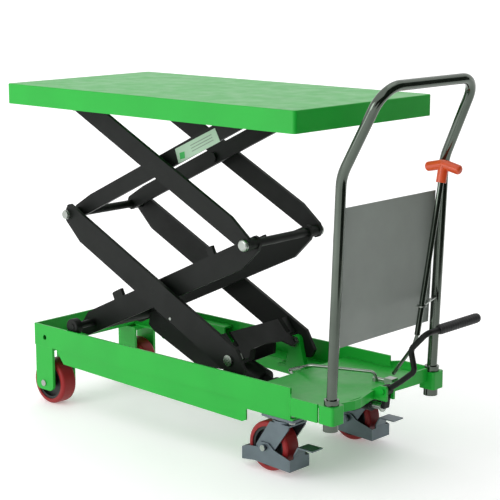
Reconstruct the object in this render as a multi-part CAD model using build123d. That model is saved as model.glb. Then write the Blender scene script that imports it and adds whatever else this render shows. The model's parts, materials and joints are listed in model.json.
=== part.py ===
from build123d import *
import math
import os

# Hydraulic double-scissor lift table on four wheels, with a push handle.
# All sizes are in millimetres. X runs from the front wheels to the push handle and is
# measured from the platform's front edge, Y runs across the table (-Y is the near side)
# and Z is the height above the floor. The export shifts X so that the origin lies on the
# floor under the middle of the whole machine.

ORIGIN_X = 600.5

# ---- platform -------------------------------------------------------------------------
PLATFORM_LENGTH = 1010.0
PLATFORM_WIDTH = 520.0
PLATFORM_DEPTH = 53.0
PLATFORM_SHEET = 4.0
PLATFORM_CORNER = 9.0
PLATFORM_EDGE = 2.5

# ---- scissor linkage ------------------------------------------------------------------
REST_ANGLE = 26.66          # pin line of every arm above the horizontal
END_TO_CENTRE = 305.0       # end pin to the crossing pin
CENTRE_TO_MID = 363.7       # crossing pin to the joint between the stages
PIVOT_X = 695.0             # fixed pins, in the base and under the platform
PIVOT_Z = 238.0
TOP_ABOVE_PIN = 58.0        # platform surface above its pins
ARM_LENGTH = END_TO_CENTRE + CENTRE_TO_MID

# Edges of the arms from their pin lines, at the end pin and at the mid joint: first the
# edge that faces the other stage, then the edge that faces away from it.
LOWER_OUTER_EDGES = ((38.0, 28.0), (-34.0, -44.0))
LOWER_INNER_EDGES = ((33.0, 17.0), (-27.0, -45.0))
UPPER_OUTER_EDGES = ((21.0, 17.0), (-34.0, -37.0))
UPPER_INNER_EDGES = ((23.0, 15.0), (-20.0, -28.0))
# lugs on the lower inner arms: place along the arm, half width and top
LOWER_INNER_LUGS = ((130.0, 19.0, 50.0), (515.0, 11.0, 43.0))

OUTER_ARM_Y = (130.0, 140.0)
INNER_ARM_Y = (94.0, 104.0)

SHAFT_R = 11.0              # shafts at the mid joints
BOLT_R = 10.0               # crossing pins and end pins
RUN_GAP = 0.05              # radial clearance of a pin that turns in its bore
OPEN_GAP = 0.35             # radial clearance of the right-hand mid joint
FACE_GAP = 0.5              # side clearance between pieces that turn on each other

# ---- rollers --------------------------------------------------------------------------
BASE_ROLLER_R = 22.0
BASE_ROLLER_Y = (162.0, 184.0)
TOP_ROLLER_R = 13.0
TOP_ROLLER_Y = (146.0, 160.0)
TOP_STUB_R = 7.0
TRACK_GAP = 0.3             # roller tread to its track

# ---- base frame -----------------------------------------------------------------------
RAIL_FRONT_X = 8.0
RAIL_REAR_X = 1049.0
RAIL_OUT_Y = 197.0
RAIL_TOP = 229.0
RAIL_BOTTOM = 168.0
PLATE = 5.0                 # plate thickness of the welded frame
TRACK_X = (14.0, 398.0)
TRACK_Y = (158.0, 192.5)
RAIL_FLOOR_Y = 135.0        # inner edge of the rails' floor flange
MOUNT_X = (804.0, 947.0)    # where the casters bolt on
MOUNT_PLATE_END = 954.0
MOUNT_BOTTOM = 148.0
JOGGLE_X = (947.0, 968.0)   # the rail steps outwards to the handle socket
WING_Y = (215.0, 220.0)
WING_Z = (170.0, 215.0)
DECK_Z = (196.0, 200.0)     # rear deck over the pump
DECK_END_X = 1056.0
TIE_TOP = 113.0
TIE_HALF = 34.0
STRIP_Z = (190.0, 212.0)    # bent strip between the handle sockets
STRIP_BENDS = ((1076.0, 175.0), (1072.0, 95.0), (1064.0, 0.0), (1073.0, -48.0), (1090.0, -109.0),
               (1090.0, -130.0), (1076.0, -175.0))
SKIRT_OUT_Y = 191.5
SKIRT_THICKNESS = 4.0

# ---- handle ---------------------------------------------------------------------------
POST_X0 = 1065.0            # post axis extended to the floor
POST_LEAN = 0.04            # X per unit of height
POST_Y = 197.5
POST_FOOT_Z = 152.0
POST_BEND_Z = 750.0
GRIP_X = 1195.0
GRIP_Z = 954.0
GRIP_HALF_Y = 177.0
TUBE_R = 12.5
TUBE_WALL = 2.0
SOCKET_SIZE = (46.0, 44.0)  # along X and along Y
SOCKET_Z = (170.0, 214.0)

# ---- wheels ---------------------------------------------------------------------------
WHEEL_R = 62.5
WHEEL_WIDTH = 48.0
TYRE_DEPTH = 13.0
FRONT_WHEEL_X = 43.0
FRONT_WHEEL_Y = 156.0
CASTER_AXLE_X = 864.0
CASTER_PIVOT_X = 904.0
CASTER_Y = 160.0
AXLE_R = 6.0
FRONT_LEGS_Y = ((189.0, 197.0), (115.0, 122.0))
CASTER_BOLT_X = (CASTER_PIVOT_X - 38.0, CASTER_PIVOT_X + 38.0)
CASTER_BOLT_Y = (CASTER_Y - 23.0, CASTER_Y + 23.0)
CASTER_BOLT_R = 5.0
CASTER_PLATE_Z = (142.0, MOUNT_BOTTOM)
FORK_HALF = 31.0            # middle of the wheel to the middle of a fork leg
FORK_SHEET = 4.0
KINGPIN_R = 8.0

# ---- lifting cylinder -----------------------------------------------------------------
CYLINDER_FOOT = (718.0, 146.0)
PUSH_ALONG = 300.0          # push shaft from the base pin, along the lower outer arm
PUSH_BELOW = 138.0          # and below its pin line
PUSH_R = 11.0
BARREL_R = 30.0
ROD_R = 17.5
BARREL_END = 308.0
ROD_FOOT = 90.0
SADDLE_GAP = 7.0            # slack round the push shaft in the rod's saddle
BOOM_Y = (36.0, 44.0)       # plates on both sides of the cylinder that hold the push shaft
BOOM_OUTLINE = ((8.0, 6.0), (58.0, 22.0), (105.0, -105.0), (345.0, -118.0), (360.0, -133.0),
                (352.0, -166.0), (330.0, -171.0), (149.0, -156.0), (60.0, -102.0), (-3.0, -20.0))

# ---- pump, pipe, release and pedal -----------------------------------------------------
PUMP_Z = 170.0              # axis of the pump's plunger
PUMP_R = 17.0
PUMP_X = (1015.0, 1052.0)
PLUNGER_R = 9.0
PLUNGER_X = (1036.0, 1083.0)
PLUNGER_CAP_X = (1081.5, 1085.5)
PIPE_R = 4.0
PIPE_START = (998.0, 67.0)
PIPE_Z = 222.0
RELEASE_X = 1118.0
RELEASE_TOP = (RELEASE_X, 163.0, 738.0)
RELEASE_LOW = (RELEASE_X, 71.0, 337.0)
RELEASE_END = (1047.0, 74.0, 226.0)
PEDAL_PIVOT = (1094.0, 214.0)
PEDAL_Y = -14.0
PEDAL_PIN_R = 7.0
PEDAL_EAR_X = 1061.0
PEDAL_FINGER_X = 1086.0
PEDAL_GRIP_X = 1206.0
PEDAL_GRIP_Z = 372.0
GRIP_START_Y = 34.0
GRIP_END_Y = 196.0

SIDES = (-1, 1)


# ---- small builders -------------------------------------------------------------------
def block(x, y, z):
    """Rectangular block between two X, two Y and two Z values."""
    size = (x[1] - x[0], y[1] - y[0], z[1] - z[0])
    centre = ((x[0] + x[1]) / 2, (y[0] + y[1]) / 2, (z[0] + z[1]) / 2)
    return Pos(*centre) * Box(*size)


def rod_y(x, z, radius, y):
    """Round bar along Y."""
    return Pos(x, (y[0] + y[1]) / 2, z) * Rot(90, 0, 0) * Cylinder(radius, y[1] - y[0])


def rod_x(y, z, radius, x):
    """Round bar along X."""
    return Pos((x[0] + x[1]) / 2, y, z) * Rot(0, 90, 0) * Cylinder(radius, x[1] - x[0])


def rod_z(x, y, radius, z):
    """Round bar along Z."""
    return Pos(x, y, (z[0] + z[1]) / 2) * Cylinder(radius, z[1] - z[0])


def bar_between(start, end, radius):
    """Round bar between two points."""
    path = Line(start, end)
    return sweep((path ^ 0) * Circle(radius), path)


def slab_y(points, y):
    """Flat plate with its outline in X and Z."""
    outline = Polyline(*[(px, y[0], pz) for px, pz in points], close=True)
    return extrude(make_face(outline), amount=y[1] - y[0], dir=(0, 1, 0))


def slab_x(points, x):
    """Flat plate or long section with its outline in Y and Z."""
    outline = Polyline(*[(x[0], py, pz) for py, pz in points], close=True)
    return extrude(make_face(outline), amount=x[1] - x[0], dir=(1, 0, 0))


def slab_z(points, z):
    """Flat plate with its outline in X and Y."""
    outline = Polyline(*[(px, py, z[0]) for px, py in points], close=True)
    return extrude(make_face(outline), amount=z[1] - z[0], dir=(0, 0, 1))


def side_y(side, y):
    """A pair of distances from the middle plane, as low and high Y on one side."""
    return (y[0], y[1]) if side > 0 else (-y[1], -y[0])


def both_sides(shape):
    """The shape and its mirror image across the middle plane, as separate solids."""
    return Compound(children=[*shape.solids(), *mirror(shape, about=Plane.XZ).solids()])


def group(*shapes):
    """Separate solids that are kept in one node."""
    return Compound(children=[solid for shape in shapes for solid in shape.solids()])


def hexagon_y(x, z, across, y):
    """Hexagon nut or bolt head with its axis along Y."""
    corner = across / math.sqrt(3)
    turns = [math.radians(60 * i) for i in range(6)]
    return slab_y([(x + corner * math.cos(a), z + corner * math.sin(a)) for a in turns], y)


def hexagon_z(x, y, across, z):
    """Hexagon nut or bolt head with its axis along Z."""
    corner = across / math.sqrt(3)
    turns = [math.radians(60 * i) for i in range(6)]
    return slab_z([(x + corner * math.cos(a), y + corner * math.sin(a)) for a in turns], z)


# ---- linkage geometry -----------------------------------------------------------------
COS = math.cos(math.radians(REST_ANGLE))
SIN = math.sin(math.radians(REST_ANGLE))
ROLLER_X = PIVOT_X - 2 * END_TO_CENTRE * COS
MID_Z = PIVOT_Z + ARM_LENGTH * SIN
TOP_Z = PIVOT_Z + 2 * ARM_LENGTH * SIN
MID_LEFT_X = PIVOT_X - ARM_LENGTH * COS
MID_RIGHT_X = MID_LEFT_X + 2 * CENTRE_TO_MID * COS
CROSS_X = PIVOT_X - END_TO_CENTRE * COS
LOWER_CROSS_Z = PIVOT_Z + END_TO_CENTRE * SIN
UPPER_CROSS_Z = MID_Z + CENTRE_TO_MID * SIN
PLATFORM_TOP = TOP_Z + TOP_ABOVE_PIN
PLATFORM_BOTTOM = PLATFORM_TOP - PLATFORM_DEPTH


class ArmFrame:
    """Places points given along an arm's pin line (s) and towards the other stage (t)."""

    def __init__(self, pin_x, pin_z, along_x, stage):
        self.pin = (pin_x, pin_z)
        self.u = (along_x * COS, stage * SIN)
        self.v = (-along_x * SIN, stage * COS)

    def at(self, s, t):
        x = self.pin[0] + s * self.u[0] + t * self.v[0]
        z = self.pin[1] + s * self.u[1] + t * self.v[1]
        return (x, z)

    def outline(self, points):
        return [self.at(s, t) for s, t in points]


LOWER_OUTER = ArmFrame(PIVOT_X, PIVOT_Z, -1, 1)
LOWER_INNER = ArmFrame(ROLLER_X, PIVOT_Z, 1, 1)
UPPER_OUTER = ArmFrame(ROLLER_X, TOP_Z, 1, -1)
UPPER_INNER = ArmFrame(PIVOT_X, TOP_Z, -1, -1)


def arm(frame, side, y, edges, heel, bores):
    """One scissor arm: a flat bar with a chamfered nose at the mid joint.

    bores are the radii of the end, crossing and mid holes.
    """
    inner_edge, outer_edge = edges
    nose = [
        (ARM_LENGTH + 8, inner_edge[1]),
        (ARM_LENGTH + 15, inner_edge[1] - 7),
        (ARM_LENGTH + 15, -10),
        (ARM_LENGTH + 1, -22),
        (ARM_LENGTH - 70, outer_edge[1]),
    ]
    tail = [
        (-0.6 * heel, outer_edge[0]),
        (-heel, 0.5 * outer_edge[0]),
        (-heel, 0.2 * inner_edge[0]),
        (-7, inner_edge[0]),
    ]
    band = side_y(side, y)
    body = slab_y(frame.outline(nose + tail), band)
    cut = (band[0] - 1, band[1] + 1)
    for distance, radius in zip((0, END_TO_CENTRE, ARM_LENGTH), bores):
        hole_x, hole_z = frame.at(distance, 0)
        body -= rod_y(hole_x, hole_z, radius, cut)
    return body


# ---- base frame -----------------------------------------------------------------------
def rail(side):
    """Side rail: web, floor, tapered skirt, roller track, caster mount and step to the socket."""
    def web_section(x, bottom):
        return block(x, side_y(side, (RAIL_OUT_Y - PLATE, RAIL_OUT_Y)), (bottom, RAIL_TOP))

    floor_top = RAIL_BOTTOM + PLATE
    track_top = PIVOT_Z - BASE_ROLLER_R - TRACK_GAP
    low, high = TRACK_Y
    body = web_section((RAIL_FRONT_X, MOUNT_X[0]), RAIL_BOTTOM)
    body += web_section(MOUNT_X, MOUNT_BOTTOM)
    body += block((RAIL_FRONT_X, MOUNT_X[0]), side_y(side, (RAIL_FLOOR_Y, RAIL_OUT_Y)),
                  (RAIL_BOTTOM, floor_top))
    body += block(TRACK_X, side_y(side, (low, low + PLATE)), (RAIL_BOTTOM, track_top))
    body += block(TRACK_X, side_y(side, (low, high)), (track_top - PLATE, track_top))
    body += block((MOUNT_X[0], MOUNT_PLATE_END), side_y(side, (112.0, RAIL_OUT_Y)),
                  (MOUNT_BOTTOM, MOUNT_BOTTOM + PLATE))
    step = [
        (JOGGLE_X[0] - PLATE, RAIL_OUT_Y - PLATE),
        (JOGGLE_X[0], RAIL_OUT_Y),
        (JOGGLE_X[1], WING_Y[1]),
        (RAIL_REAR_X, WING_Y[1]),
        (RAIL_REAR_X, WING_Y[0]),
        (JOGGLE_X[1] + 2, WING_Y[0]),
        (JOGGLE_X[0] + 2, RAIL_OUT_Y - PLATE),
    ]
    body += slab_z([(px, side * py) for px, py in step], WING_Z)
    skirt = [(88.0, RAIL_BOTTOM + 1), (121.0, 129.0), (786.0, 111.0), (800.0, 117.0),
             (800.0, RAIL_BOTTOM + 1)]
    body += slab_y(skirt, side_y(side, (SKIRT_OUT_Y - SKIRT_THICKNESS, SKIRT_OUT_Y)))
    body -= rod_y(50.0, 194.0, 7.0, side_y(side, (RAIL_OUT_Y - 2 * PLATE, RAIL_OUT_Y + PLATE)))
    for bolt_x in CASTER_BOLT_X:
        for bolt_y in CASTER_BOLT_Y:
            body -= rod_z(bolt_x, side * bolt_y, CASTER_BOLT_R + 0.5, (140.0, 160.0))
    return body


def front_beam():
    """Folded cross member that closes the frame at the front."""
    inner = RAIL_OUT_Y - PLATE
    wall = block((RAIL_FRONT_X, RAIL_FRONT_X + PLATE), (-inner, inner), (RAIL_BOTTOM + PLATE, RAIL_TOP))
    shelf_y = RAIL_FLOOR_Y - 0.5
    shelf = block((RAIL_FRONT_X, 62.0), (-shelf_y, shelf_y), (RAIL_BOTTOM + PLATE, RAIL_BOTTOM + 2 * PLATE))
    return wall + shelf


def rear_beam():
    """Bent strip between the handle sockets, with the two ears that hold the pedal's pin."""
    low, high = STRIP_Z
    inner = [(x - PLATE, y) for x, y in reversed(STRIP_BENDS)]
    body = slab_z(list(STRIP_BENDS) + inner, (low, high))
    tall = [point for point in STRIP_BENDS if point[1] > 90.0]
    tall_inner = [(x - PLATE, y) for x, y in reversed(tall)]
    body += slab_z(tall + tall_inner, (low, high + 12.0))
    px, pz = PEDAL_PIVOT
    for side in SIDES:
        y = tuple(sorted((PEDAL_Y + side * 10.5, PEDAL_Y + side * 17.5)))
        ear = slab_y([(PEDAL_EAR_X, low), (PEDAL_EAR_X, high), (px - 8, pz + 12), (px + 8, pz + 12),
                      (px + 12, pz + 8), (px + 12, low)], y)
        body += ear - rod_y(px, pz, PEDAL_PIN_R + 0.02, (y[0] - 1, y[1] + 1))
    return body


def deck_plate():
    """Rear deck over the pump, its front wall and the tie that carries the cylinder's foot."""
    inner = RAIL_OUT_Y - PLATE - 0.5
    top = block((MOUNT_X[0], RAIL_REAR_X), (-inner, inner), DECK_Z)
    top += block((RAIL_REAR_X, DECK_END_X), (-172.0, 172.0), DECK_Z)
    front_wall = block((MOUNT_X[0], MOUNT_X[0] + PLATE), (-inner, inner), (MOUNT_BOTTOM + PLATE, DECK_Z[1]))
    tie = block((640.0, MOUNT_X[0]), (-TIE_HALF, TIE_HALF), (TIE_TOP - PLATE, TIE_TOP))
    drop = block((MOUNT_X[0] - PLATE, MOUNT_X[0]), (-TIE_HALF, TIE_HALF), (TIE_TOP, MOUNT_BOTTOM + PLATE))
    step = block((MOUNT_X[0] - PLATE, MOUNT_X[0] + PLATE), (-TIE_HALF, TIE_HALF),
                 (MOUNT_BOTTOM + PLATE - 1, MOUNT_BOTTOM + 2 * PLATE))
    return top + front_wall + tie + drop + step


def post_at(z):
    """X of a handle post's axis at a height."""
    return POST_X0 + POST_LEAN * z


def handle_socket(side):
    """Square socket at a rear corner of the frame that holds a handle post."""
    centre_x = post_at(sum(SOCKET_Z) / 2)
    half_x = SOCKET_SIZE[0] / 2
    half_y = SOCKET_SIZE[1] / 2
    y = (side * POST_Y - half_y, side * POST_Y + half_y)
    body = block((centre_x - half_x, centre_x + half_x), y, SOCKET_Z)
    body = fillet(body.edges().filter_by(Axis.Z), 7.0)
    return body - rod_z(centre_x, side * POST_Y, TUBE_R + 1.1, (SOCKET_Z[0] - 1, SOCKET_Z[1] + 1))


def handle_sleeves():
    """Plated ferrules above and below both sockets."""
    rings = []
    for low, high in ((SOCKET_Z[0] - 19.0, SOCKET_Z[0]), (SOCKET_Z[1], SOCKET_Z[1] + 13.0)):
        centre_x = post_at((low + high) / 2)
        ring = rod_z(centre_x, POST_Y, 18.0, (low, high))
        rings.append(ring - rod_z(centre_x, POST_Y, TUBE_R + 0.6, (low - 1, high + 1)))
    return both_sides(group(*rings))


def handle_tube():
    """One bent tube: two leaning posts, two slanted arms and the grip across the top."""
    foot_x = post_at(POST_FOOT_Z)
    bend_x = post_at(POST_BEND_Z)
    route = [
        (foot_x, -POST_Y, POST_FOOT_Z),
        (bend_x, -POST_Y, POST_BEND_Z),
        (GRIP_X, -GRIP_HALF_Y, GRIP_Z),
        (GRIP_X, GRIP_HALF_Y, GRIP_Z),
        (bend_x, POST_Y, POST_BEND_Z),
        (foot_x, POST_Y, POST_FOOT_Z),
    ]
    path = FilletPolyline(*route, radius=[110.0, 62.0, 62.0, 110.0])
    section = (path ^ 0) * (Circle(TUBE_R) - Circle(TUBE_R - TUBE_WALL))
    return sweep(section, path)


def guard_panel():
    """Sheet steel guard on the scissor side of the posts."""
    low, high = 341.0, 672.0
    half = 188.0
    sheet = 2.0
    back = TUBE_R + 0.1
    face = [
        (post_at(low) - back - sheet, low),
        (post_at(low) - back, low),
        (post_at(high) - back, high),
        (post_at(high) - back - sheet, high),
    ]
    return slab_y(face, (-half, half))


def pivot_brackets():
    """Upright lugs on the rails that carry the lower outer arms' pins."""
    lug_y = (114.0, 128.0)
    crown = 16.0
    points = [(PIVOT_X - 34, RAIL_BOTTOM), (PIVOT_X - crown + 0.5, PIVOT_Z), (PIVOT_X + crown - 0.5, PIVOT_Z),
              (PIVOT_X + 34, RAIL_BOTTOM)]
    body = slab_y(points, lug_y) + rod_y(PIVOT_X, PIVOT_Z, crown, lug_y)
    body += block((PIVOT_X - 60, PIVOT_X + 60), (lug_y[0], SKIRT_OUT_Y - SKIRT_THICKNESS - 0.5),
                  (RAIL_BOTTOM - 8, RAIL_BOTTOM))
    body -= rod_y(PIVOT_X, PIVOT_Z, BOLT_R + RUN_GAP, (lug_y[0] - 1, lug_y[1] + 1))
    return both_sides(body)


def cylinder_bracket():
    """Clevis with its pin, on the frame's tie plate, for the foot of the cylinder."""
    foot_x, foot_z = CYLINDER_FOOT
    top = foot_z + 14
    pieces = []
    for side in SIDES:
        y = side_y(side, (21.0, 29.0))
        ear = slab_y([(foot_x - 22, TIE_TOP), (foot_x - 14, top), (foot_x + 14, top),
                      (foot_x + 26, TIE_TOP)], y)
        pieces.append(ear - rod_y(foot_x, foot_z, 8.02, (y[0] - 1, y[1] + 1)))
    pin = rod_y(foot_x, foot_z, 8.0, (-33.0, 33.0))
    return group(*pieces, pin)


def wheel_brackets():
    """Forks under the front corners, one leg on each side of the wheel."""
    leg_bottom = WHEEL_R - 19.0
    leg_x = (11.0, 81.0)
    outer, inner = FRONT_LEGS_Y
    crown_z = (RAIL_BOTTOM - 8.0, RAIL_BOTTOM)
    body = block(leg_x, (inner[0], outer[1]), crown_z)
    for y in (outer, inner):
        leg = block(leg_x, y, (leg_bottom, crown_z[1]))
        corners = leg.edges().filter_by(Axis.Y).group_by(Axis.Z)[0]
        body += fillet(corners, 17.0)
    body -= rod_y(FRONT_WHEEL_X, WHEEL_R, AXLE_R + 0.1, (inner[0] - 1, outer[1] + 1))
    return both_sides(body)


def front_axles():
    """Axle bolts of the front wheels, with head and nut."""
    out_y = FRONT_LEGS_Y[0][1]
    in_y = FRONT_LEGS_Y[1][0]
    bolt = rod_y(FRONT_WHEEL_X, WHEEL_R, AXLE_R, (in_y - 9.0, out_y + 1.5))
    bolt += rod_y(FRONT_WHEEL_X, WHEEL_R, 9.0, (out_y, out_y + 3.0))
    bolt += hexagon_y(FRONT_WHEEL_X, WHEEL_R, 18.0, (in_y - 8.0, in_y))
    return both_sides(bolt)


# ---- wheels and casters ---------------------------------------------------------------
def ring_y(x, z, outer, inner, y):
    """Ring around an axis along Y."""
    return rod_y(x, z, outer, y) - rod_y(x, z, inner, (y[0] - 1, y[1] + 1))


def tyre(x, side, centre_y):
    """Polyurethane tread with rounded shoulders."""
    y = (side * centre_y - WHEEL_WIDTH / 2, side * centre_y + WHEEL_WIDTH / 2)
    body = ring_y(x, WHEEL_R, WHEEL_R, WHEEL_R - TYRE_DEPTH, y)
    rims = body.edges().filter_by(GeomType.CIRCLE).sort_by(lambda e: e.radius)[-2:]
    return fillet(rims, 8.0)


def hub(x, side, centre_y, boss):
    """Wheel core with a dished web and a bored boss that stands out of the wheel."""
    y = (side * centre_y - WHEEL_WIDTH / 2, side * centre_y + WHEEL_WIDTH / 2)
    body = ring_y(x, WHEEL_R, WHEEL_R - TYRE_DEPTH, AXLE_R + RUN_GAP, (y[0] + 3, y[1] - 3))
    for mouth in ((y[0], y[0] + 15.0), (y[1] - 15.0, y[1])):
        body -= ring_y(x, WHEEL_R, WHEEL_R - TYRE_DEPTH - 7.0, 17.0, mouth)
    body += ring_y(x, WHEEL_R, 13.0, AXLE_R + RUN_GAP, (y[0] - boss, y[1] + boss))
    return body


def caster_plates():
    """Top plates of the swivel casters."""
    plate = block((CASTER_PIVOT_X - 52, CASTER_PIVOT_X + 52), (CASTER_Y - 38, CASTER_Y + 38), CASTER_PLATE_Z)
    plate = fillet(plate.edges().filter_by(Axis.Z), 8.0)
    plate += rod_z(CASTER_PIVOT_X, CASTER_Y, 30.0, (CASTER_PLATE_Z[0] - 5.0, CASTER_PLATE_Z[0]))
    plate += rod_z(CASTER_PIVOT_X, CASTER_Y, KINGPIN_R, (121.0, CASTER_PLATE_Z[0]))
    plate += hexagon_z(CASTER_PIVOT_X, CASTER_Y, 22.0, (121.0, 126.5))
    for bolt_x in CASTER_BOLT_X:
        for bolt_y in CASTER_BOLT_Y:
            plate -= rod_z(bolt_x, bolt_y, CASTER_BOLT_R + 0.5, (130.0, 160.0))
    return both_sides(plate)


def caster_bolts():
    """Bolts and nuts that hold the casters to the frame."""
    bolts = []
    for bolt_x in CASTER_BOLT_X:
        for bolt_y in CASTER_BOLT_Y:
            bolt = rod_z(bolt_x, bolt_y, CASTER_BOLT_R, (136.0, 163.0))
            bolt += hexagon_z(bolt_x, bolt_y, 15.0, (MOUNT_BOTTOM + PLATE, 160.0))
            bolt += hexagon_z(bolt_x, bolt_y, 15.0, (136.0, CASTER_PLATE_Z[0]))
            bolts.append(bolt)
    return both_sides(group(*bolts))


def caster_fork(side):
    """Swivel head with two legs that trail to the axle, and the axle bolt."""
    centre = side * CASTER_Y
    crown_z = (127.0, 131.0)
    body = rod_z(CASTER_PIVOT_X, centre, 34.0, (crown_z[1], 136.5))
    body += block((CASTER_PIVOT_X - 25, CASTER_PIVOT_X + 36),
                  (centre - FORK_HALF - 2, centre + FORK_HALF + 2), crown_z)
    for leg in SIDES:
        middle = centre + leg * FORK_HALF
        y = (middle - FORK_SHEET / 2, middle + FORK_SHEET / 2)
        points = [(CASTER_PIVOT_X - 25, crown_z[1]), (CASTER_PIVOT_X + 36, crown_z[1]),
                  (CASTER_PIVOT_X + 33, 120.0), (CASTER_AXLE_X + 30, WHEEL_R - 2),
                  (CASTER_AXLE_X + 14, WHEEL_R - 16), (CASTER_AXLE_X - 14, WHEEL_R - 16),
                  (CASTER_AXLE_X - 30, WHEEL_R - 4), (CASTER_AXLE_X - 28, WHEEL_R + 4)]
        body += slab_y(points, y)
    body -= rod_z(CASTER_PIVOT_X, centre, KINGPIN_R + RUN_GAP, (crown_z[0] - 1, 138.0))
    bore = (centre - FORK_HALF - 5, centre + FORK_HALF + 5)
    return body - rod_y(CASTER_AXLE_X, WHEEL_R, AXLE_R + 0.1, bore)


def caster_axle(side):
    """Axle bolt with a dome head outside and a nut inside."""
    centre = side * CASTER_Y
    out = centre + side * (FORK_HALF + 12.0)
    inward = centre - side * (FORK_HALF + 16.0)
    body = rod_y(CASTER_AXLE_X, WHEEL_R, AXLE_R, tuple(sorted((out, inward))))
    head = tuple(sorted((out, out - side * 5.0)))
    nut = tuple(sorted((inward + side * 1.5, inward + side * 9.5)))
    body += rod_y(CASTER_AXLE_X, WHEEL_R, 8.0, head)
    body += hexagon_y(CASTER_AXLE_X, WHEEL_R, 17.0, nut)
    return body


def brake_frame(side):
    """Foot brake: side plates round the wheel, joined by front and rear plates, with a pedal."""
    centre = side * CASTER_Y
    front_x = 946.0
    rear_x = 791.0
    sheet = 3.0
    body = None
    for leg in SIDES:
        inside = centre + leg * (FORK_HALF + 2.5)
        y = tuple(sorted((inside, inside + leg * sheet)))
        points = [(rear_x, 18.0), (rear_x, 50.0), (rear_x + 20, 57.0), (CASTER_AXLE_X - 20, 60.0),
                  (CASTER_AXLE_X - 13, WHEEL_R + 13), (CASTER_AXLE_X + 13, WHEEL_R + 13),
                  (CASTER_AXLE_X + 30, 62.0), (front_x, 47.0), (front_x, 17.0), (831.0, 23.0)]
        plate = slab_y(points, y)
        plate -= rod_y(CASTER_AXLE_X, WHEEL_R, AXLE_R + RUN_GAP, (y[0] - 1, y[1] + 1))
        body = plate if body is None else body + plate
    width = (centre - FORK_HALF - 5.5, centre + FORK_HALF + 5.5)
    body += block((front_x - sheet, front_x), width, (17.0, 47.0))
    body += block((rear_x, rear_x + sheet), width, (18.0, 50.0))
    tab = [(front_x - sheet, 44.0), (front_x - sheet, 56.0), (front_x + 10, 79.0), (front_x + 56, 79.0),
           (front_x + 56, 76.0), (front_x + 12, 76.0), (front_x, 54.0), (front_x, 44.0)]
    return body + slab_y(tab, (centre - 20.0, centre + 20.0))


# ---- scissor bodies -------------------------------------------------------------------
def lower_outer_arm(side):
    """Lower outer arm, straight-edged, carrying the mid-left shaft."""
    bores = (BOLT_R + RUN_GAP, BOLT_R + RUN_GAP, SHAFT_R + RUN_GAP)
    return arm(LOWER_OUTER, side, OUTER_ARM_Y, LOWER_OUTER_EDGES, 55.0, bores)


def push_shaft():
    """Shaft between the two boom plates that the piston rod pushes on."""
    x, z = LOWER_OUTER.at(PUSH_ALONG, -PUSH_BELOW)
    return rod_y(x, z, PUSH_R, (-BOOM_Y[1], BOOM_Y[1]))


def boom_plate(side):
    """Long plate under the arms, from the cross plate to the push shaft."""
    y = side_y(side, BOOM_Y)
    plate = slab_y(LOWER_OUTER.outline(BOOM_OUTLINE), y)
    push_x, push_z = LOWER_OUTER.at(PUSH_ALONG, -PUSH_BELOW)
    return plate - rod_y(push_x, push_z, PUSH_R + RUN_GAP, (y[0] - 1, y[1] + 1))


def lower_cross_plate():
    """Slanting web between the lower outer arms, notched for the inner arms, with two boom plates."""
    reach = OUTER_ARM_Y[0]
    foot = LOWER_OUTER.at(2.0, 5.0)
    head = LOWER_OUTER.at(64.0, 27.0)
    height = math.dist(foot, head)
    slope = ((head[0] - foot[0]) / height, (head[1] - foot[1]) / height)
    half = [(height, reach), (height, 107.0), (22.0, 107.0), (22.0, 91.0), (height, 91.0)]
    arch = [(10.0, 0.0), (4.0, 62.0), (-16.0, 84.0), (-16.0, 98.0), (18.0, 99.0), (18.0, reach)]
    loop = half + [(d, -y) for d, y in reversed(half)] + [(d, -y) for d, y in reversed(arch)] + arch[1:]
    corners = [(foot[0] + d * slope[0], y, foot[1] + d * slope[1]) for d, y in loop]
    face = make_face(Polyline(*corners, close=True))
    web = extrude(face, amount=6.0, dir=(slope[1], 0, -slope[0]))
    return web + boom_plate(-1) + boom_plate(1)


def base_pivot_bolts():
    """Plated bolts on which the lower outer arms turn in the base brackets."""
    bolt = rod_y(PIVOT_X, PIVOT_Z, BOLT_R, (103.0, OUTER_ARM_Y[1] + 6.0))
    bolt += rod_y(PIVOT_X, PIVOT_Z, 14.0, (OUTER_ARM_Y[1], OUTER_ARM_Y[1] + 6.0))
    bolt += hexagon_y(PIVOT_X, PIVOT_Z, 26.0, (103.0, 113.5))
    return both_sides(bolt)


def mid_left_shaft():
    """Cross shaft through the left mid joints, with spacers and end nuts."""
    end = OUTER_ARM_Y[1]
    x, z = MID_LEFT_X, MID_Z
    body = rod_y(x, z, SHAFT_R, (-end - 14, end + 14))
    spacer = (INNER_ARM_Y[1] + FACE_GAP, OUTER_ARM_Y[0] - 0.2)
    nut = (end + 0.1, end + 9.0)
    for side in SIDES:
        body += rod_y(x, z, 15.0, side_y(side, spacer))
        body += hexagon_y(x, z, 24.0, side_y(side, nut))
    return body


def mid_right_shaft():
    """Cross shaft through the right mid joints, with spacers and dome nuts."""
    end = OUTER_ARM_Y[1]
    x, z = MID_RIGHT_X, MID_Z
    body = rod_y(x, z, SHAFT_R, (-end - 1, end + 1))
    spacer = (INNER_ARM_Y[1] + 0.2, OUTER_ARM_Y[0] - FACE_GAP)
    for side in SIDES:
        body += rod_y(x, z, 15.0, side_y(side, spacer))
        dome = rod_y(x, z, 15.5, side_y(side, (end + FACE_GAP, end + 10.0)))
        rim = dome.edges().filter_by(GeomType.CIRCLE).sort_by(Axis.Y)[-1 if side > 0 else 0]
        body += fillet(rim, 6.0)
    return body


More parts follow.
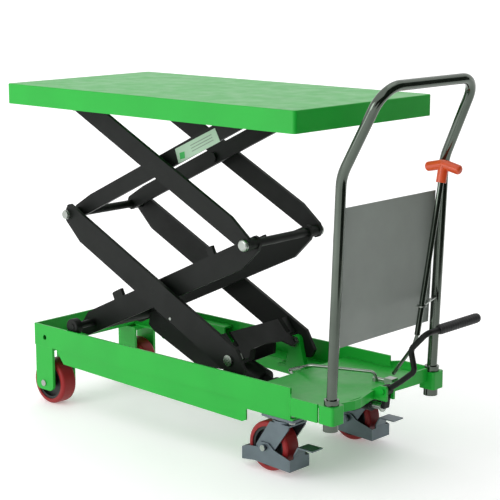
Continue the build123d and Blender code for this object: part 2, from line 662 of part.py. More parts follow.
def crossing_pins(height, inner_y, outer_y, free_inner):
    """Pins through the crossing arms, with a collar in the gap between the arms."""
    collar_gap = FACE_GAP if free_inner else 0.2
    outer_gap = 0.2 if free_inner else FACE_GAP
    pin = rod_y(CROSS_X, height, BOLT_R, (inner_y[0] - 9.0, outer_y[1]))
    pin += rod_y(CROSS_X, height, 14.0, (inner_y[1] + collar_gap, outer_y[0] - outer_gap))
    pin += hexagon_y(CROSS_X, height, 24.0, (inner_y[0] - 9.0, inner_y[0] - FACE_GAP))
    return both_sides(pin)


def lower_inner_arm(side):
    """Lower inner arm with its two upstanding lugs."""
    bores = (BOLT_R + RUN_GAP, BOLT_R + RUN_GAP, SHAFT_R + RUN_GAP)
    body = arm(LOWER_INNER, side, INNER_ARM_Y, LOWER_INNER_EDGES, 62.0, bores)
    for along, half, top in LOWER_INNER_LUGS:
        lug = [(along - half, 10.0), (along - half, top - 3), (along - half + 4, top), (along + half, top),
               (along + half, 10.0)]
        body += slab_y(LOWER_INNER.outline(lug), side_y(side, INNER_ARM_Y))
    return body


def roller_cross_tube():
    """Tube between the lower inner arms, with the stub shafts of the base rollers."""
    inside = INNER_ARM_Y[0] - 0.2
    body = rod_y(ROLLER_X, PIVOT_Z, 25.0, (-inside, inside))
    end = BASE_ROLLER_Y[1]
    body += rod_y(ROLLER_X, PIVOT_Z, BOLT_R, (-end - 1.5, end + 1.5))
    return body


def platform_pivot_bolts():
    """Bolts on which the platform hangs at the ends of the upper inner arms."""
    bolt = rod_y(PIVOT_X, TOP_Z, BOLT_R, (INNER_ARM_Y[0] - 8.0, 119.0))
    bolt += hexagon_y(PIVOT_X, TOP_Z, 22.0, (INNER_ARM_Y[0] - 8.0, INNER_ARM_Y[0] - 0.2))
    bolt += hexagon_y(PIVOT_X, TOP_Z, 22.0, (115.5, 119.0))
    return both_sides(bolt)


def top_roller_pins():
    """Stub shafts of the platform rollers, welded into the upper outer arms."""
    pin = rod_y(ROLLER_X, TOP_Z, BOLT_R, (OUTER_ARM_Y[0], TOP_ROLLER_Y[0] - FACE_GAP))
    pin += rod_y(ROLLER_X, TOP_Z, TOP_STUB_R, (OUTER_ARM_Y[1], TOP_ROLLER_Y[1] + 1.5))
    return both_sides(pin)


def roller(x, z, radius, bore, side, y):
    """Plain steel roller with broken edges."""
    body = rod_y(x, z, radius, side_y(side, y))
    rims = body.edges().filter_by(GeomType.CIRCLE)
    body = chamfer(rims, 1.5)
    return body - rod_y(x, z, bore + RUN_GAP, side_y(side, (y[0] - 1, y[1] + 1)))


# ---- platform -------------------------------------------------------------------------
def platform_deck():
    """Folded platform pan: top sheet with a skirt all round, open underneath."""
    half = PLATFORM_WIDTH / 2
    body = block((0.0, PLATFORM_LENGTH), (-half, half), (PLATFORM_BOTTOM, PLATFORM_TOP))
    body = fillet(body.edges().filter_by(Axis.Z), PLATFORM_CORNER)
    body = fillet(body.faces().sort_by(Axis.Z)[-1].edges(), PLATFORM_EDGE)
    sheet = PLATFORM_SHEET
    hollow = block((sheet, PLATFORM_LENGTH - sheet), (-half + sheet, half - sheet),
                   (PLATFORM_BOTTOM - 1, PLATFORM_TOP - sheet))
    hollow = fillet(hollow.edges().filter_by(Axis.Z), PLATFORM_CORNER - sheet)
    return body - hollow


def platform_channels():
    """Angles under the deck that rest on the top rollers."""
    under = PLATFORM_TOP - PLATFORM_SHEET
    reach = TOP_ROLLER_R + TRACK_GAP
    low_y, high_y = TOP_ROLLER_Y[0] - 1.5, TOP_ROLLER_Y[1] + 4.0
    x = (58.0, 402.0)
    body = block(x, (high_y, high_y + PLATE), (TOP_Z - 8.0, under))
    body += block(x, (low_y, high_y + PLATE), (TOP_Z + reach, TOP_Z + reach + 4.0))
    return both_sides(body)


def platform_lugs():
    """Lugs under the deck for the fixed pins of the upper inner arms."""
    y = (INNER_ARM_Y[1] + FACE_GAP, 115.0)
    under = PLATFORM_TOP - PLATFORM_SHEET
    points = [(PIVOT_X - 48, under), (PIVOT_X - 17, TOP_Z - 14), (PIVOT_X - 8, TOP_Z - 19),
              (PIVOT_X + 8, TOP_Z - 19), (PIVOT_X + 17, TOP_Z - 14), (PIVOT_X + 48, under)]
    lug = slab_y(points, y)
    return both_sides(lug - rod_y(PIVOT_X, TOP_Z, BOLT_R + RUN_GAP, (y[0] - 1, y[1] + 1)))


# ---- hydraulics -----------------------------------------------------------------------
def cylinder_axis():
    """Unit vector from the cylinder's foot to the push shaft, and the distance."""
    push_x, push_z = LOWER_OUTER.at(PUSH_ALONG, -PUSH_BELOW)
    dx, dz = push_x - CYLINDER_FOOT[0], push_z - CYLINDER_FOOT[1]
    length = math.hypot(dx, dz)
    return dx / length, dz / length, length


def along_cylinder(distance):
    """Point on the cylinder's axis."""
    ux, uz, _ = cylinder_axis()
    return (CYLINDER_FOOT[0] + distance * ux, 0.0, CYLINDER_FOOT[1] + distance * uz)


def cylinder_barrel():
    """Barrel with its foot eye, end cap and gland ring, bored for the piston rod."""
    foot_x, foot_z = CYLINDER_FOOT
    body = bar_between(along_cylinder(27.0), along_cylinder(BARREL_END), BARREL_R)
    body += bar_between(along_cylinder(BARREL_END - 16), along_cylinder(BARREL_END), BARREL_R + 2.5)
    body += rod_y(foot_x, foot_z, 18.0, (-20.5, 20.5))
    body += bar_between(along_cylinder(6.0), along_cylinder(28.0), 18.0)
    body -= bar_between(along_cylinder(ROD_FOOT - 36), along_cylinder(BARREL_END + 2), ROD_R + RUN_GAP)
    return body - rod_y(foot_x, foot_z, 8.0 + RUN_GAP, (-22.0, 22.0))


def piston_rod():
    """Piston rod whose saddle pushes on the cross shaft with slack all round it."""
    length = cylinder_axis()[2]
    body = bar_between(along_cylinder(ROD_FOOT), along_cylinder(length - 22.0), ROD_R)
    push_x, push_z = LOWER_OUTER.at(PUSH_ALONG, -PUSH_BELOW)
    body += rod_y(push_x, push_z, PUSH_R + SADDLE_GAP + 8.0, (-16.0, 16.0))
    body -= rod_y(push_x, push_z, PUSH_R + SADDLE_GAP, (-18.0, 18.0))
    return body


def pump_body():
    """Foot pump under the deck: oil tank, plunger barrel, and release valve on the deck."""
    tank = block((930.0, PUMP_X[0] + 5), (-52.0, 48.0), (MOUNT_BOTTOM + PLATE, DECK_Z[0] - 0.1))
    tank = fillet(tank.edges().filter_by(Axis.Z), 12.0)
    barrel = rod_x(PEDAL_Y, PUMP_Z, PUMP_R, PUMP_X)
    bore = rod_x(PEDAL_Y, PUMP_Z, PLUNGER_R + RUN_GAP, (PUMP_X[0] + 4, PUMP_X[1] + 1))
    return tank + barrel - bore


def pump_plunger():
    """Plunger with a cap that the pedal's finger pushes in."""
    body = rod_x(PEDAL_Y, PUMP_Z, PLUNGER_R, PLUNGER_X)
    return body + rod_x(PEDAL_Y, PUMP_Z, 13.0, PLUNGER_CAP_X)


def pressure_pipe():
    """Steel pipe over the deck from its union to the cylinder's hollow pin."""
    foot_x, foot_z = CYLINDER_FOOT
    route = [(*PIPE_START, DECK_Z[1] + 0.1), (*PIPE_START, PIPE_Z), (840.0, 6.0, PIPE_Z), (768.0, 8.0, 196.0),
             (744.0, 47.0, 172.0), (foot_x, 48.5, foot_z), (foot_x, 33.1, foot_z)]
    path = FilletPolyline(*route, radius=[14.0, 30.0, 12.0, 12.0, 7.0])
    pipe = sweep((path ^ 0) * Circle(PIPE_R), path)
    union = rod_z(*PIPE_START, 7.5, (DECK_Z[1] + 0.1, DECK_Z[1] + 9))
    block_z = (DECK_Z[1] + 0.1, DECK_Z[1] + 14)
    valve = block((1028.0, 1052.0), (62.0, 86.0), block_z)
    link = rod_x(70.0, DECK_Z[1] + 6, 4.0, (PIPE_START[0], 1030.0))
    return pipe + union + valve + link


# ---- release and pedal ----------------------------------------------------------------
def release_rod():
    """Pull rod from the knob down to the pump's release valve."""
    upper = bar_between(RELEASE_TOP, RELEASE_LOW, 7.0)
    path = FilletPolyline(RELEASE_LOW, (RELEASE_X - 6, 66.0, 310.0), RELEASE_END, radius=30.0)
    lower = sweep((path ^ 0) * Circle(4.5), path)
    return upper + lower


def release_knob():
    """T-shaped knob with drooping wings and a stem that takes the pull rod."""
    lean = (RELEASE_TOP[1] - RELEASE_LOW[1]) / (RELEASE_TOP[2] - RELEASE_LOW[2])

    def centre(z):
        return (RELEASE_X, RELEASE_TOP[1] + lean * (z - RELEASE_TOP[2]), z)

    cx, cy, cz = centre(739.0)
    wing = 50.0
    path = FilletPolyline((cx - wing, cy, cz - 8.0), (cx, cy, cz + 3.0), (cx + wing, cy, cz - 8.0),
                          radius=60.0)
    bar = sweep((path ^ 0) * Circle(12.0), path)
    ends = bar.edges().filter_by(GeomType.CIRCLE).group_by(Axis.X)
    bar = fillet([ends[0][0], ends[-1][-1]], 8.0)
    body = bar + bar_between(centre(698.0), centre(745.0), 12.5)
    body -= bar_between(centre(690.0), centre(RELEASE_TOP[2] + 1), 7.05)
    return body


def rod_guide():
    """Strip with an eye that steadies the pull rod against the far post."""
    z = 406.0
    lean = (RELEASE_TOP[1] - RELEASE_LOW[1]) / (RELEASE_TOP[2] - RELEASE_LOW[2])
    rod_point = (RELEASE_X, RELEASE_LOW[1] + lean * (z - RELEASE_LOW[2]))
    post_point = (post_at(z), POST_Y)
    dx, dy = post_point[0] - rod_point[0], post_point[1] - rod_point[1]
    length = math.hypot(dx, dy)
    nx, ny = -dy / length * 5.0, dx / length * 5.0
    strip = slab_z([(rod_point[0] + nx, rod_point[1] + ny), (post_point[0] + nx, post_point[1] + ny),
                    (post_point[0] - nx, post_point[1] - ny), (rod_point[0] - nx, rod_point[1] - ny)],
                   (z - 1.5, z + 1.5))
    strip += rod_z(rod_point[0], rod_point[1], 12.0, (z - 1.5, z + 1.5))
    strip -= rod_z(rod_point[0], rod_point[1], 8.2, (z - 5, z + 5))
    return strip - rod_z(post_point[0], post_point[1], TUBE_R + 0.15, (z - 5, z + 5))


def pedal_bar():
    """Bent foot lever: hinge boss with its finger, rising bar and the arm under the grip."""
    px, pz = PEDAL_PIVOT
    route = [(px + 6, PEDAL_Y, pz + 3), (1136.0, PEDAL_Y, 243.0), (1175.0, PEDAL_Y, 275.0),
             (1162.0, PEDAL_Y, 326.0), (PEDAL_GRIP_X, PEDAL_Y, PEDAL_GRIP_Z),
             (PEDAL_GRIP_X, GRIP_END_Y - 12, PEDAL_GRIP_Z)]
    path = FilletPolyline(*route, radius=[18.0, 18.0, 18.0, 14.0])
    bar = sweep((path ^ 0) * Circle(PEDAL_PIN_R), path)
    boss_y = (PEDAL_Y - 10.0, PEDAL_Y + 10.0)
    boss = rod_y(px, pz, 13.0, boss_y)
    finger = slab_y([(PEDAL_FINGER_X, PUMP_Z - 2), (PEDAL_FINGER_X + 9, PUMP_Z - 2), (px + 6, pz - 6),
                     (px, pz), (PEDAL_FINGER_X, PUMP_Z + 8)], boss_y)
    return bar + boss + finger - rod_y(px, pz, PEDAL_PIN_R + RUN_GAP, (PEDAL_Y - 12, PEDAL_Y + 12))


def pedal_hinge():
    """Pin on which the pedal turns."""
    px, pz = PEDAL_PIVOT
    return rod_y(px, pz, PEDAL_PIN_R, (PEDAL_Y - 22.0, PEDAL_Y + 22.0))


def pedal_grip():
    """Rubber sleeve on the foot lever."""
    body = rod_y(PEDAL_GRIP_X, PEDAL_GRIP_Z, 11.5, (GRIP_START_Y, GRIP_END_Y))
    body = fillet(body.edges().filter_by(GeomType.CIRCLE), 4.0)
    return body - rod_y(PEDAL_GRIP_X, PEDAL_GRIP_Z, PEDAL_PIN_R + 0.02, (GRIP_START_Y - 1, GRIP_END_Y - 11))


# ---- all nodes ------------------------------------------------------------------------
def all_nodes():
    """Every node of the machine under its file name."""
    nodes = {
        "front_beam": front_beam(),
        "rear_beam": rear_beam(),
        "deck_plate": deck_plate(),
        "handle_sockets": both_sides(handle_socket(1)),
        "handle_sleeves": handle_sleeves(),
        "handle_tube": handle_tube(),
        "guard_panel": guard_panel(),
        "base_brackets": group(pivot_brackets(), cylinder_bracket()),
        "wheel_brackets": wheel_brackets(),
        "front_axles": front_axles(),
        "caster_plates": caster_plates(),
        "caster_bolts": caster_bolts(),
        "lower_cross_plate": lower_cross_plate(),
        "push_shaft": push_shaft(),
        "base_pivot_bolts": base_pivot_bolts(),
        "mid_left_shaft": mid_left_shaft(),
        "mid_right_shaft": mid_right_shaft(),
        "lower_centre_bolts": crossing_pins(LOWER_CROSS_Z, INNER_ARM_Y, OUTER_ARM_Y, True),
        "roller_cross_tube": roller_cross_tube(),
        "upper_inner_bolts": group(crossing_pins(UPPER_CROSS_Z, INNER_ARM_Y, OUTER_ARM_Y, False),
                                   platform_pivot_bolts()),
        "top_roller_pins": top_roller_pins(),
        "platform_deck": platform_deck(),
        "platform_channels": group(platform_channels(), platform_lugs()),
        "cylinder_barrel": cylinder_barrel(),
        "piston_rod": piston_rod(),
        "pump_body": pump_body(),
        "pump_plunger": pump_plunger(),
        "pressure_pipe": pressure_pipe(),
        "release_rod": release_rod(),
        "release_knob": release_knob(),
        "rod_guide": rod_guide(),
        "pedal_bar": pedal_bar(),
        "pedal_hinge": pedal_hinge(),
        "pedal_grip": pedal_grip(),
    }
    top_bores = (BOLT_R + RUN_GAP, BOLT_R + RUN_GAP, SHAFT_R + OPEN_GAP)
    all_bores = (BOLT_R + RUN_GAP, BOLT_R + RUN_GAP, SHAFT_R + RUN_GAP)
    for name, side in (("near", -1), ("far", 1)):
        nodes[f"{name}_rail"] = rail(side)
        nodes[f"{name}_lower_outer_arm"] = lower_outer_arm(side)
        nodes[f"{name}_lower_inner_arm"] = lower_inner_arm(side)
        nodes[f"{name}_upper_outer_arm"] = arm(UPPER_OUTER, side, OUTER_ARM_Y, UPPER_OUTER_EDGES, 47.0,
                                               top_bores)
        nodes[f"{name}_upper_inner_arm"] = arm(UPPER_INNER, side, INNER_ARM_Y, UPPER_INNER_EDGES, 40.0,
                                               all_bores)
        nodes[f"{name}_base_roller"] = roller(ROLLER_X, PIVOT_Z, BASE_ROLLER_R, BOLT_R, side, BASE_ROLLER_Y)
        nodes[f"{name}_top_roller"] = roller(ROLLER_X, TOP_Z, TOP_ROLLER_R, TOP_STUB_R, side, TOP_ROLLER_Y)
        nodes[f"{name}_front_tyre"] = tyre(FRONT_WHEEL_X, side, FRONT_WHEEL_Y)
        nodes[f"{name}_front_hub"] = hub(FRONT_WHEEL_X, side, FRONT_WHEEL_Y, 6.0)
        nodes[f"{name}_caster_fork"] = group(caster_fork(side), caster_axle(side))
        nodes[f"{name}_caster_tyre"] = tyre(CASTER_AXLE_X, side, CASTER_Y)
        nodes[f"{name}_caster_hub"] = hub(CASTER_AXLE_X, side, CASTER_Y, 3.0)
        nodes[f"{name}_caster_brake"] = brake_frame(side)
    return nodes


def placed(shape):
    """The node's solids, moved so that the origin is under the middle of the machine."""
    solids = [Pos(-ORIGIN_X, 0, 0) * solid for solid in shape.solids()]
    return solids[0] if len(solids) == 1 else Compound(children=solids)


os.makedirs("parts", exist_ok=True)
for node_name, shape in all_nodes().items():
    export_step(placed(shape), f"parts/{node_name}.step")
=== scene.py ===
import bpy
import json
import math
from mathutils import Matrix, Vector


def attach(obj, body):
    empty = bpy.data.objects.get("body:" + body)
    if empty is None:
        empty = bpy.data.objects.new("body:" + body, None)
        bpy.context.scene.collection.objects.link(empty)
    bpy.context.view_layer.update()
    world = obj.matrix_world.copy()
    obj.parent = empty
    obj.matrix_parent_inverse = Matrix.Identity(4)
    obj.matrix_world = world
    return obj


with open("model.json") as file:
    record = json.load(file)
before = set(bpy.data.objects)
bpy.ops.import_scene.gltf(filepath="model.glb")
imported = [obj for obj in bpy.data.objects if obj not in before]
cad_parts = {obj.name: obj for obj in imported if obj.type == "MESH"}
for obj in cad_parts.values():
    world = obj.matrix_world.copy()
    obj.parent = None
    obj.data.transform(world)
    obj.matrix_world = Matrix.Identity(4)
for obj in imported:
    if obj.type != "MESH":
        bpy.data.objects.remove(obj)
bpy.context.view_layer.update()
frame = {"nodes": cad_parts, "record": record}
NODES = frame["nodes"]

MM = 0.001
SIDES = (("near", -1.0), ("far", 1.0))
RIGHT_ANGLE = math.radians(90.0)
WHITE = (1.0, 1.0, 1.0, 1.0)


# ---- procedural materials -------------------------------------------------------------
MIX_FIRST = 6               # colour sockets of Blender's Mix node
MIX_SECOND = 7
MIX_RESULT = 2

NOISE_ROUGHNESS = 0.55
NOISE_SPREAD = (0.3, 0.7)   # noise values that give the two ends of a tone or a roughness
TONE_SCALE = 9.0
ROUGHNESS_SCALE = 22.0
RELIEF_DEPTH = 0.6 * MM
RELIEF_DETAIL = 2.0
COAT_ROUGHNESS = 0.12

WEAR_REACH = 1.2 * MM       # how far from an edge the paint is worn
WEAR_SAMPLES = 4
WEAR_TURN = (0.99, 0.80)    # cosine between true and rounded normal: from no wear to full wear
WEAR_SCALE = 60.0
WEAR_PATCHES = (0.42, 0.62)


def link(tree, source, target):
    tree.links.new(source, target)


def noise(tree, coords, scale, detail=4.0):
    node = tree.nodes.new("ShaderNodeTexNoise")
    node.inputs["Scale"].default_value = scale
    node.inputs["Detail"].default_value = detail
    node.inputs["Roughness"].default_value = NOISE_ROUGHNESS
    link(tree, coords, node.inputs["Vector"])
    return node.outputs["Fac"]


def remap(tree, value, span, low, high):
    """Value, stretched so that the given span covers low to high."""
    node = tree.nodes.new("ShaderNodeMapRange")
    node.inputs["From Min"].default_value = span[0]
    node.inputs["From Max"].default_value = span[1]
    node.inputs["To Min"].default_value = low
    node.inputs["To Max"].default_value = high
    link(tree, value, node.inputs["Value"])
    return node.outputs["Result"]


def mix_colour(tree, factor, first, second):
    """Blend of two colours, each a tuple or another node's output."""
    node = tree.nodes.new("ShaderNodeMix")
    node.data_type = "RGBA"
    link(tree, factor, node.inputs["Factor"])
    for socket, value in ((node.inputs[MIX_FIRST], first), (node.inputs[MIX_SECOND], second)):
        if isinstance(value, tuple):
            socket.default_value = (*value, 1.0)
        else:
            link(tree, value, socket)
    return node.outputs[MIX_RESULT]


def edge_mask(tree, coords, strength):
    """Bright along outer edges, broken up by noise."""
    bevel = tree.nodes.new("ShaderNodeBevel")
    bevel.samples = WEAR_SAMPLES
    bevel.inputs["Radius"].default_value = WEAR_REACH
    geometry = tree.nodes.new("ShaderNodeNewGeometry")
    dot = tree.nodes.new("ShaderNodeVectorMath")
    dot.operation = "DOT_PRODUCT"
    link(tree, bevel.outputs["Normal"], dot.inputs[0])
    link(tree, geometry.outputs["Normal"], dot.inputs[1])
    edge = remap(tree, dot.outputs["Value"], WEAR_TURN, 0.0, 1.0)
    patchy = remap(tree, noise(tree, coords, WEAR_SCALE), WEAR_PATCHES, 0.0, strength)
    product = tree.nodes.new("ShaderNodeMath")
    product.operation = "MULTIPLY"
    link(tree, edge, product.inputs[0])
    link(tree, patchy, product.inputs[1])
    return product.outputs["Value"]


def surface(name, colour, rough, vary, bump, metallic=0.0, rough_vary=0.06, grain=900.0,
            worn=None, wear=0.0, coat=0.0, specular=0.5):
    """Painted, plated or moulded surface with tone, roughness, relief and worn edges."""
    mat = bpy.data.materials.new(name)
    mat.use_nodes = True
    tree = mat.node_tree
    shader = tree.nodes["Principled BSDF"]
    coords = tree.nodes.new("ShaderNodeTexCoord").outputs["Object"]
    dark = tuple(c * (1.0 - vary) for c in colour)
    light = tuple(min(1.0, c * (1.0 + vary)) for c in colour)
    broad = remap(tree, noise(tree, coords, TONE_SCALE), NOISE_SPREAD, 0.0, 1.0)
    tone = mix_colour(tree, broad, dark, light)
    if worn:
        tone = mix_colour(tree, edge_mask(tree, coords, wear), tone, worn)
    link(tree, tone, shader.inputs["Base Color"])
    shader.inputs["Metallic"].default_value = metallic
    shader.inputs["Specular IOR Level"].default_value = specular
    shader.inputs["Coat Weight"].default_value = coat
    shader.inputs["Coat Roughness"].default_value = COAT_ROUGHNESS
    patch = noise(tree, coords, ROUGHNESS_SCALE)
    sheen = remap(tree, patch, NOISE_SPREAD, rough - rough_vary, rough + rough_vary)
    link(tree, sheen, shader.inputs["Roughness"])
    relief = tree.nodes.new("ShaderNodeBump")
    relief.inputs["Strength"].default_value = bump
    relief.inputs["Distance"].default_value = RELIEF_DEPTH
    link(tree, noise(tree, coords, grain, RELIEF_DETAIL), relief.inputs["Height"])
    link(tree, relief.outputs["Normal"], shader.inputs["Normal"])
    return mat


MATERIALS = {
    "green_paint": surface("green_paint", (0.006, 0.385, 0.030), rough=0.38, vary=0.05, bump=0.06,
                           worn=(0.14, 0.50, 0.15), wear=0.30, coat=0.05, specular=0.35),
    "black_paint": surface("black_paint", (0.0062, 0.0078, 0.0066), rough=0.48, vary=0.25, bump=0.08,
                           worn=(0.045, 0.050, 0.045), wear=0.40, specular=0.18),
    "chrome": surface("chrome", (0.11, 0.13, 0.11), metallic=1.0, rough=0.13, vary=0.12, rough_vary=0.03,
                      bump=0.01, grain=300.0),
    "zinc": surface("zinc", (0.36, 0.39, 0.36), metallic=1.0, rough=0.30, vary=0.14, rough_vary=0.08,
                    bump=0.05, grain=500.0),
    "grey_paint": surface("grey_paint", (0.285, 0.315, 0.290), rough=0.42, vary=0.06, bump=0.06,
                          worn=(0.4, 0.42, 0.4), wear=0.3),
    "caster_steel": surface("caster_steel", (0.13, 0.16, 0.18), metallic=0.8, rough=0.36, vary=0.22,
                            bump=0.07, worn=(0.42, 0.45, 0.47), wear=0.5),
    "red_tread": surface("red_tread", (0.27, 0.014, 0.016), rough=0.42, vary=0.14, bump=0.10, grain=400.0,
                         specular=0.3, worn=(0.42, 0.07, 0.05), wear=0.3),
    "black_core": surface("black_core", (0.010, 0.010, 0.010), rough=0.5, vary=0.2, bump=0.10,
                          worn=(0.05, 0.05, 0.05), wear=0.5),
    "red_knob": surface("red_knob", (0.72, 0.085, 0.018), rough=0.34, vary=0.06, bump=0.05, coat=0.2,
                        worn=(0.75, 0.20, 0.12), wear=0.3),
    "grip_rubber": surface("grip_rubber", (0.012, 0.013, 0.013), rough=0.55, vary=0.2, bump=0.12,
                           worn=(0.06, 0.06, 0.06), wear=0.4),
    "label_plate": surface("label_plate", (0.36, 0.52, 0.38), rough=0.38, vary=0.05, bump=0.03,
                           worn=(0.55, 0.62, 0.55), wear=0.3),
    "label_spot": surface("label_spot", (0.015, 0.36, 0.060), rough=0.38, vary=0.08, bump=0.03,
                          worn=(0.2, 0.5, 0.2), wear=0.3),
    "label_grey": surface("label_grey", (0.20, 0.27, 0.21), rough=0.40, vary=0.05, bump=0.03,
                          worn=(0.4, 0.45, 0.4), wear=0.3),
}


# ---- the CAD pieces: paint and rolled edges --------------------------------------------
SLOT_OF = {entry["node"]: entry["material_slot"] for entry in frame["record"]["subparts"]}

# shafts that are painted with the arms; beyond the outer arms their nuts are bright
DARK_SHAFTS = ("mid_left_shaft", "mid_right_shaft", "upper_inner_bolts", "push_shaft")
NUTS_FROM_Y = 0.1401        # metres
BRIGHT_BOLTS = ("base_pivot_bolts",)

ARMS = [f"{side}_{stage}_{place}_arm" for side, _ in SIDES for stage in ("lower", "upper")
        for place in ("outer", "inner")]
SHARP_PLATES = ["near_rail", "far_rail", "front_beam", "rear_beam", "deck_plate", "wheel_brackets", *ARMS,
                "lower_cross_plate", "near_caster_fork", "far_caster_fork", "near_caster_brake",
                "far_caster_brake", "caster_plates"]
PLATE_EDGE = 0.7 * MM

EDGE_SEGMENTS = 2
EDGE_FROM_ANGLE = math.radians(35.0)


def round_edges(obj, width):
    """Small rolled edge that catches the light, without touching the mesh itself."""
    bevel = obj.modifiers.new("edges", "BEVEL")
    bevel.width = width
    bevel.segments = EDGE_SEGMENTS
    bevel.limit_method = "ANGLE"
    bevel.angle_limit = EDGE_FROM_ANGLE
    bevel.use_clamp_overlap = True
    bevel.harden_normals = False


def main_material(node_name):
    if node_name in DARK_SHAFTS:
        return MATERIALS["black_paint"]
    if node_name in BRIGHT_BOLTS:
        return MATERIALS["zinc"]
    return MATERIALS[SLOT_OF[node_name]]


def dress_nodes():
    """Main material on every CAD piece, and zinc on the nuts of the painted shafts."""
    for node_name, node in NODES.items():
        node.data.materials.clear()
        node.data.materials.append(main_material(node_name))
        node.data.materials.append(MATERIALS["zinc"])
        for polygon in node.data.polygons:
            centre = node.matrix_world @ polygon.center
            is_nut = node_name in DARK_SHAFTS and abs(centre.y) > NUTS_FROM_Y
            polygon.material_index = 1 if is_nut else 0
        if node_name in SHARP_PLATES:
            round_edges(node, PLATE_EDGE)


# ---- studio ---------------------------------------------------------------------------
FLOOR_SIZE = 60.0
FLOOR_Z = -0.0005           # just under the wheels
FLOOR_GLOW = 0.28           # keeps the floor as pale as the surroundings
FLOOR_COLOUR = (0.93, 0.93, 0.93)
CARD_COLOUR = (0.02, 0.03, 0.02)
WORLD_STRENGTH = 1.0

KEY_LIGHT = {"place": (-1.4, -4.2, 1.8), "target": (0.0, 0.0, 0.55), "size": (2.5, 2.0), "watts": 60.0}
TOP_LIGHT = {"place": (0.4, 0.6, 4.2), "target": (0.0, 0.0, 0.5), "size": (3.0, 2.0), "watts": 10.0}
SIDE_CARD = {"place": (2.0, 1.1, 1.3), "turn": (0.0, RIGHT_ANGLE, 0.0), "size": (2.6, 4.0)}
BACK_CARD = {"place": (3.9, -4.1, 1.2), "turn": (RIGHT_ANGLE, 0.0, math.radians(43.0)), "size": (4.2, 2.4)}


def area_light(name, place, target, size, watts):
    data = bpy.data.lights.new(name, "AREA")
    data.shape = "RECTANGLE"
    data.size, data.size_y = size
    data.energy = watts
    light = bpy.data.objects.new(name, data)
    bpy.context.collection.objects.link(light)
    light.location = place
    light.rotation_euler = (Vector(target) - Vector(place)).to_track_quat("-Z", "Y").to_euler()


def dark_card(name, place, turn, size):
    """Dark panel, seen only in reflections, that gives the chrome something to mirror."""
    bpy.ops.mesh.primitive_plane_add(size=1.0, location=place, rotation=turn)
    card = bpy.context.object
    card.name = name
    card.scale = (*size, 1.0)
    card.visible_camera = False
    card.data.materials.append(surface(name, CARD_COLOUR, rough=0.9, vary=0.01, bump=0.0))


def pale_floor():
    bpy.ops.mesh.primitive_plane_add(size=FLOOR_SIZE, location=(0.0, 0.0, FLOOR_Z))
    floor = bpy.context.object
    floor.name = "studio_floor"
    floor_paint = surface("floor", FLOOR_COLOUR, rough=0.7, vary=0.01, bump=0.0)
    glow = floor_paint.node_tree.nodes["Principled BSDF"].inputs
    glow["Emission Color"].default_value = WHITE
    glow["Emission Strength"].default_value = FLOOR_GLOW
    floor.data.materials.append(floor_paint)


def pale_world():
    world = bpy.data.worlds.new("studio")
    world.use_nodes = True
    background = world.node_tree.nodes["Background"].inputs
    background["Color"].default_value = WHITE
    background["Strength"].default_value = WORLD_STRENGTH
    bpy.context.scene.world = world
    bpy.context.scene.view_settings.view_transform = "Standard"


def studio():
    """Pale floor and surroundings, two soft lights, and two dark cards for the reflections."""
    pale_floor()
    pale_world()
    area_light("key", **KEY_LIGHT)
    area_light("top", **TOP_LIGHT)
    dark_card("side_card", **SIDE_CARD)
    dark_card("back_card", **BACK_CARD)


# ---- camera ---------------------------------------------------------------------------
CAMERA_PLACE = (2.5924, -2.8016, 1.2562)
CAMERA_LOOKS_DOWN = 11.41   # degrees
CAMERA_TURN = 42.357        # degrees
CAMERA_LENS = 108.7         # millimetres, on the sensor below
CAMERA_SENSOR = 36.0


def photo_camera():
    """The viewpoint of the photograph, recovered from the table's straight edges."""
    data = bpy.data.cameras.new("camera")
    data.sensor_width = CAMERA_SENSOR
    data.lens = CAMERA_LENS
    camera = bpy.data.objects.new("camera", data)
    bpy.context.collection.objects.link(camera)
    camera.location = CAMERA_PLACE
    camera.rotation_euler = (math.radians(90.0 - CAMERA_LOOKS_DOWN), 0.0, math.radians(CAMERA_TURN))
    bpy.context.scene.camera = camera


# ---- details that ride on the moving pieces, in millimetres ------------------------------
# X is measured from the platform's front edge and Z from the floor
ORIGIN_X = 600.5            # the platform's front edge to the model's origin

LABEL_BOTTOM = ((488, 711), (634, 780))     # ends of the label's lower edge: X and Z
LABEL_TOP = ((475, 747), (616, 812))        # ends of its upper edge
LABEL_Y = -104.0                            # outer face of the near upper inner arm
LABEL_THICKNESS = 0.8
MARK_Y = LABEL_Y - LABEL_THICKNESS
MARK_THICKNESS = 0.2
SPOT_OUTLINE = ((0.06, 0.20), (0.17, 0.12), (0.20, 0.55), (0.08, 0.62))     # shares of the label
BAND_LEVELS = (0.28, 0.48, 0.68)
BAND_HEIGHT = 0.07
BAND_ENDS = (0.36, 0.88)

PLUG_WELD = {"place": (486.5, 309.7), "radius": 4.0, "proud": 1.2}
PLUG_WELD_Y = 140.0         # outer face of a lower outer arm
AXLE_HEAD = {"place": (864.0, 62.5), "radius": 7.6, "proud": 1.6}
AXLE_HEAD_Y = 203.0         # outer end of a caster axle
HEAD_VERTICES = 32
HEAD_ROUNDING = 0.4         # share of the head's height

RIB_COUNT = 16
RIB_PITCH = 9.4
FIRST_RIB_Y = 44.0
GRIP_X = 1206.0
GRIP_Z = 372.0
RIB_RING_R = 11.3
RIB_R = 1.0
RIB_RING_SEGMENTS = 32
RIB_SEGMENTS = 8


def in_metres(x, y, z):
    """Point in millimetres from the platform's front edge, as a point of the scene."""
    return ((x - ORIGIN_X) * MM, y * MM, z * MM)


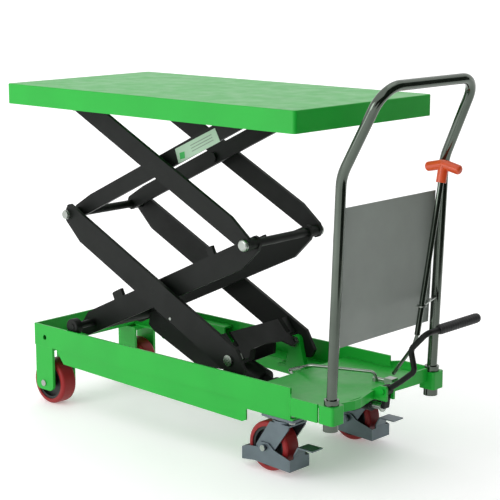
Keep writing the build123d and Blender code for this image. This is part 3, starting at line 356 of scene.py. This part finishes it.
def sheet_on_arm(name, corners, y, thickness, material):
    """Thin plate on an arm's outer face; corners are X and Z."""
    mesh = bpy.data.meshes.new(name)
    count = len(corners)
    front = [in_metres(x, y - thickness, z) for x, z in corners]
    back = [in_metres(x, y, z) for x, z in corners]
    sides = [(i, i + count, (i + 1) % count + count, (i + 1) % count) for i in range(count)]
    faces = [tuple(range(count)), tuple(range(2 * count - 1, count - 1, -1))] + sides
    mesh.from_pydata(front + back, [], faces)
    mesh.update()
    obj = bpy.data.objects.new(name, mesh)
    bpy.context.collection.objects.link(obj)
    obj.data.materials.append(MATERIALS[material])
    return obj


def on_label(u, v):
    """Point at a share u along the label and v across it, from its lower edge."""
    lower = [a + (b - a) * u for a, b in zip(*LABEL_BOTTOM)]
    upper = [a + (b - a) * u for a, b in zip(*LABEL_TOP)]
    return tuple(a + (b - a) * v for a, b in zip(lower, upper))


def label_mark(name, outline, material):
    return sheet_on_arm(name, [on_label(u, v) for u, v in outline], MARK_Y, MARK_THICKNESS, material)


def arm_label():
    """Plain label on the near upper inner arm: pale plate, green spot and three grey bands."""
    corners = [on_label(0, 0), on_label(1, 0), on_label(1, 1), on_label(0, 1)]
    pieces = [sheet_on_arm("arm_label", corners, LABEL_Y, LABEL_THICKNESS, "label_plate"),
              label_mark("arm_label_spot", SPOT_OUTLINE, "label_spot")]
    start, end = BAND_ENDS
    for index, level in enumerate(BAND_LEVELS):
        top = level + BAND_HEIGHT
        band = ((start, level), (end, level), (end, top), (start, top))
        pieces.append(label_mark(f"arm_label_band_{index}", band, "label_grey"))
    for piece in pieces:
        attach(piece, "upper_inner")


def round_head(name, place, y_face, radius, proud, body):
    """Low round zinc head that stands proud of an outer face; place is X and Z."""
    outward = -1.0 if y_face < 0.0 else 1.0
    centre = in_metres(place[0], y_face + outward * proud / 2, place[1])
    bpy.ops.mesh.primitive_cylinder_add(vertices=HEAD_VERTICES, radius=radius * MM, depth=proud * MM,
                                        rotation=(RIGHT_ANGLE, 0.0, 0.0), location=centre)
    head = bpy.context.object
    head.name = name
    head.data.materials.append(MATERIALS["zinc"])
    round_edges(head, HEAD_ROUNDING * proud * MM)
    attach(head, body)


def plug_welds():
    """One bright plug weld on each lower outer arm."""
    for word, side in SIDES:
        round_head(f"{word}_plug_weld", y_face=side * PLUG_WELD_Y, body="lower_outer", **PLUG_WELD)


def axle_heads():
    """Bright heads on the outer ends of the caster axles."""
    for word, side in SIDES:
        round_head(f"{word}_axle_head", y_face=side * AXLE_HEAD_Y, body=f"{word}_caster", **AXLE_HEAD)


def grip_ribs():
    """Moulded ribs along the pedal's rubber grip."""
    for index in range(RIB_COUNT):
        place = in_metres(GRIP_X, FIRST_RIB_Y + RIB_PITCH * index, GRIP_Z)
        bpy.ops.mesh.primitive_torus_add(major_radius=RIB_RING_R * MM, minor_radius=RIB_R * MM,
                                         major_segments=RIB_RING_SEGMENTS, minor_segments=RIB_SEGMENTS,
                                         rotation=(RIGHT_ANGLE, 0.0, 0.0), location=place)
        rib = bpy.context.object
        rib.name = f"grip_rib_{index}"
        rib.data.materials.append(MATERIALS["grip_rubber"])
        for polygon in rib.data.polygons:
            polygon.use_smooth = True
        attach(rib, "pedal")


dress_nodes()
arm_label()
plug_welds()
axle_heads()
grip_ribs()
studio()
photo_camera()
